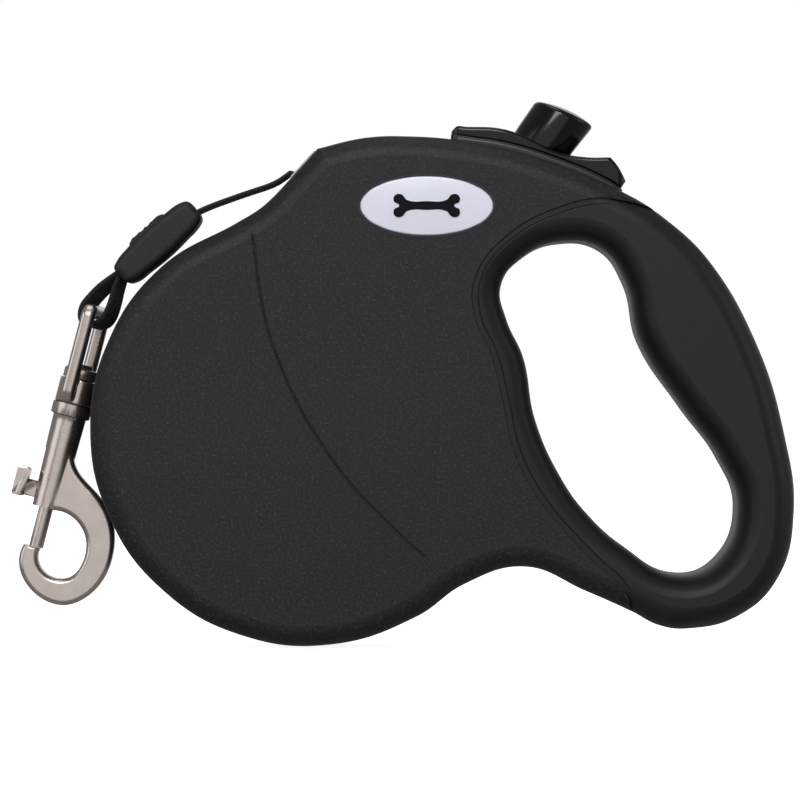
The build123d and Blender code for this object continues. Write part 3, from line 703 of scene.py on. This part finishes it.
def coil_spring(name, start, axis, radius, wire, length, turns, body):
    """A helical spring from start along the axis."""
    data = bpy.data.curves.new(name, "CURVE")
    data.dimensions = "3D"
    data.bevel_depth = wire / 2 * MM
    data.bevel_resolution = 2
    data.use_fill_caps = True
    spline = data.splines.new("POLY")
    steps = turns * 20
    spline.points.add(steps)
    side = axis.cross(Vector((0, 1, 0))).normalized()
    for i, control in enumerate(spline.points):
        turn = math.tau * i / 20
        point = start + axis * (i / steps * (length - wire) + wire / 2) * MM
        point += (side * math.cos(turn) + Vector((0, 1, 0)) * math.sin(turn)) * radius * MM
        control.co = (*point, 1)
    mesh = free_mesh(data)
    mesh.shade_smooth()
    mesh.materials.append(blued)
    return new_piece(name, mesh, body)


# The button's return spring stands on the carriage, and the bolt's sits in the hook's barrel.
spring_foot = button_frame @ Vector((0, 0, -8.15 * MM))
lock_spring = coil_spring("button_coil", spring_foot, button_axis, 4.9, 0.8, 9.05, 5, "lock")
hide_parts("brake_spring")
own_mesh(lock_spring)
TILT = math.radians(14.5)
hook_down = Vector((-math.sin(TILT), 0, -math.cos(TILT)))
hook_top = Vector((-94.35 * MM, 0, 58.8 * MM))
gate_foot = hook_top + hook_down * 3.3 * MM
gate_spring = coil_spring("bolt_coil", gate_foot, hook_down, 1.4, 0.32, 10.4, 6, "hook")
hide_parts("bolt_spring")
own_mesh(gate_spring)
dress(["wound_tape"], webbing)


# ---- Slider ----
# Moulded rubber sleeve that covers the sewn end of the tape: barrel shaped, with a raised grip pad of low
# rounded ribs on its outer face.
# Moulded rubber: dark, with a dusty bloom that takes away the gloss.
rubber, tree, shader = material("moulded_rubber", "#1b1c20", 0.6, Specular_IOR_Level=0.4)
place = object_coordinates(tree)
dust = node(tree, "TexNoise", [("Vector", place)], Scale=900, Detail=3)
tint(tree, shader, dust.outputs["Fac"], "#17181b", "#222328")
bump(tree, shader, dust.outputs["Fac"], 0.06, 0.6)
SLIDER, SLIDER_LEAN = (-72.15, 101.1), math.radians(41.8)


def on_slider(along, out):
    """A point from its distances along the slider and out of it."""
    return (SLIDER[0] + along * math.cos(SLIDER_LEAN) - out * math.sin(SLIDER_LEAN),
            SLIDER[1] + along * math.sin(SLIDER_LEAN) + out * math.cos(SLIDER_LEAN))


barrel = [(-12.7, 0.2), (-12.5, 2.5), (-11.2, 3.3), (-6, 4.2), (0, 4.5), (6, 4.3), (11.2, 3.6), (12.6, 2.6), (12.8, 0)]
barrel += [(12.4, -2.4), (11, -3.3), (6, -3.9), (0, -4.2), (-6, -3.9), (-11, -3.3), (-12.4, -2.2)]
sleeve = slab([[on_slider(*p) for p in barrel]], -7.5, 7.5, 1.9, steps=6)
sleeve = combine(sleeve, [
    box(on_slider, 11, 14, -0.9, 0.9, 5.4),
    box(on_slider, -14, -11, -1.6, 1.6, 5.4),
])
pad = slab([[on_slider(*p) for p in ((-5.9, 3.9), (-5.6, 4.65), (0, 5.0), (5.6, 4.75), (5.9, 4), (0, 4.2))]],
           -4.6, 4.6, 0.25, corners=(0, 4), steps=4)
ribs = [slab([[on_slider(t + dx, 4.8 + dz) for dx, dz in ((-0.6, -0.5), (-0.45, 0.35), (0, 0.55), (0.45, 0.35),
                                                          (0.6, -0.5))]], -3.4, 3.4, 0.3, corners=(0, 4), steps=3)
        for t in (-4, -2, 0, 2, 4)]
sleeve = combine(sleeve, [pad] + ribs, "UNION")
finish_flat(sleeve, 45)
coat(sleeve, rubber)
slider = even_shading(new_piece("slider", sleeve, "tape_end"))
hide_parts("tape_slider")


# ---- Snap hook ----
# Zinc castings in satin nickel plate. The eye turns on a rivet, and the bolt's end closes on the hook's tip. A
# near-black ring in the gap under the eye is painted shade for the dark line where eye and collar meet.
# Satin nickel over a zinc casting: warm grey metal, its gloss varying where the casting was tumbled.
nickel, tree, shader = material("satin_nickel", "#c9beb7", 0.26, Metallic=1.0)
place = object_coordinates(tree)
cloud = node(tree, "TexNoise", [("Vector", place)], Scale=220, Detail=4, Roughness=0.6)
tint(tree, shader, cloud.outputs["Fac"], "#bdb1aa", "#d6ccc6")
satin = node(tree, "MapRange", [("Value", cloud.outputs["Fac"])])
satin.inputs["To Min"].default_value = 0.2
satin.inputs["To Max"].default_value = 0.36
tree.links.new(satin.outputs["Result"], shader.inputs["Roughness"])
smooth_copy("swivel_eye", "eye", nickel, 45)
smooth_copy("swivel_rivet", "hook", nickel)
smooth_copy("hook_body", "hook", nickel, 40)
bolt = smooth_copy("hook_bolt", "bolt", nickel)
BOLT_END, BOLT_STRETCH = 34.4 * MM, 0.5 * MM
for vertex in bolt.data.vertices:
    if (vertex.co - hook_top).dot(hook_down) > BOLT_END:
        vertex.co += hook_down * BOLT_STRETCH
# Painted shade: a near-black, dull ring that fills the gap under the eye, for the shade where eye and collar meet.
painted_gap_shade = speckled(material("gap_painted_shade", "#151413", 0.5), "#121110", "#1b1a19", 800, 0.02)
bm = turned([(2.5, -1.5), (4.6, -1.5), (4.6, 2.2), (2.5, 2.2)], 48)
shade_ring_mesh = to_mesh(bm, "shade_ring")
shade_ring_mesh.transform(Matrix.Translation(hook_top) @ Matrix.Rotation(TILT, 4, "Y"))
shade_ring_mesh.materials.append(painted_gap_shade)
new_piece("swivel_gap_painted_shade", shade_ring_mesh, "hook")


# ---- Studio ----
# A white paper floor under a white surround. Large soft boxes in front and behind, weaker ones at the sides
# and a small key above the camera; the surround itself lights the leash only a little.
floor_mat, tree, shader = material("paper_floor", "#fbf9f9", 0.9, Emission_Strength=0.95)
shader.inputs["Emission Color"].default_value = linear("#fbf9f9")
bm = bmesh.new()
bmesh.ops.create_grid(bm, x_segments=8, y_segments=8, size=6)
floor_mesh = to_mesh(bm, "floor")
floor_mesh.transform(Matrix.Translation((0, 0, -0.0008)))
floor_mesh.materials.append(floor_mat)
floor = add_object("floor", floor_mesh)
floor.visible_diffuse = floor.visible_glossy = False

world = bpy.data.worlds.new("studio")
world.use_nodes = True
surround = world.node_tree.nodes["Background"]
surround.inputs["Color"].default_value = (1, 1, 1, 1)
seen = node(world.node_tree, "LightPath").outputs["Is Camera Ray"]
level = node(world.node_tree, "MapRange", [("Value", seen)])
level.inputs["To Min"].default_value = 0.24
level.inputs["To Max"].default_value = 1.0
world.node_tree.links.new(level.outputs["Result"], surround.inputs["Strength"])
bpy.context.scene.world = world
bpy.context.scene.view_settings.view_transform = "Standard"


def softbox(name, place, size, power, aim=view_centre):
    """A soft rectangular light that the camera doesn't see, aimed at the leash."""
    data = bpy.data.lights.new(name, "AREA")
    data.shape = "RECTANGLE"
    data.size, data.size_y = size
    data.energy = power
    lamp = add_object(name, data)
    lamp.location = place
    lamp.rotation_euler = (Vector(aim) - Vector(place)).to_track_quat("-Z", "Y").to_euler()
    lamp.visible_camera = False


softbox("front", (-0.1, -1.7, 0.2), (1.7, 1.5), 4.6)
softbox("back", (0.1, 1.7, 0.4), (1.7, 1.5), 5)
softbox("left", (-1.3, -0.7, 0.4), (1.0, 1.0), 3.4)
softbox("right", (1.4, -0.2, 0.5), (0.8, 1.0), 2.4)
softbox("key", (-0.1, -0.9, 0.65), (0.45, 0.45), 4.5)
softbox("top", (0.0, 0.0, 1.4), (0.9, 0.6), 2.2)
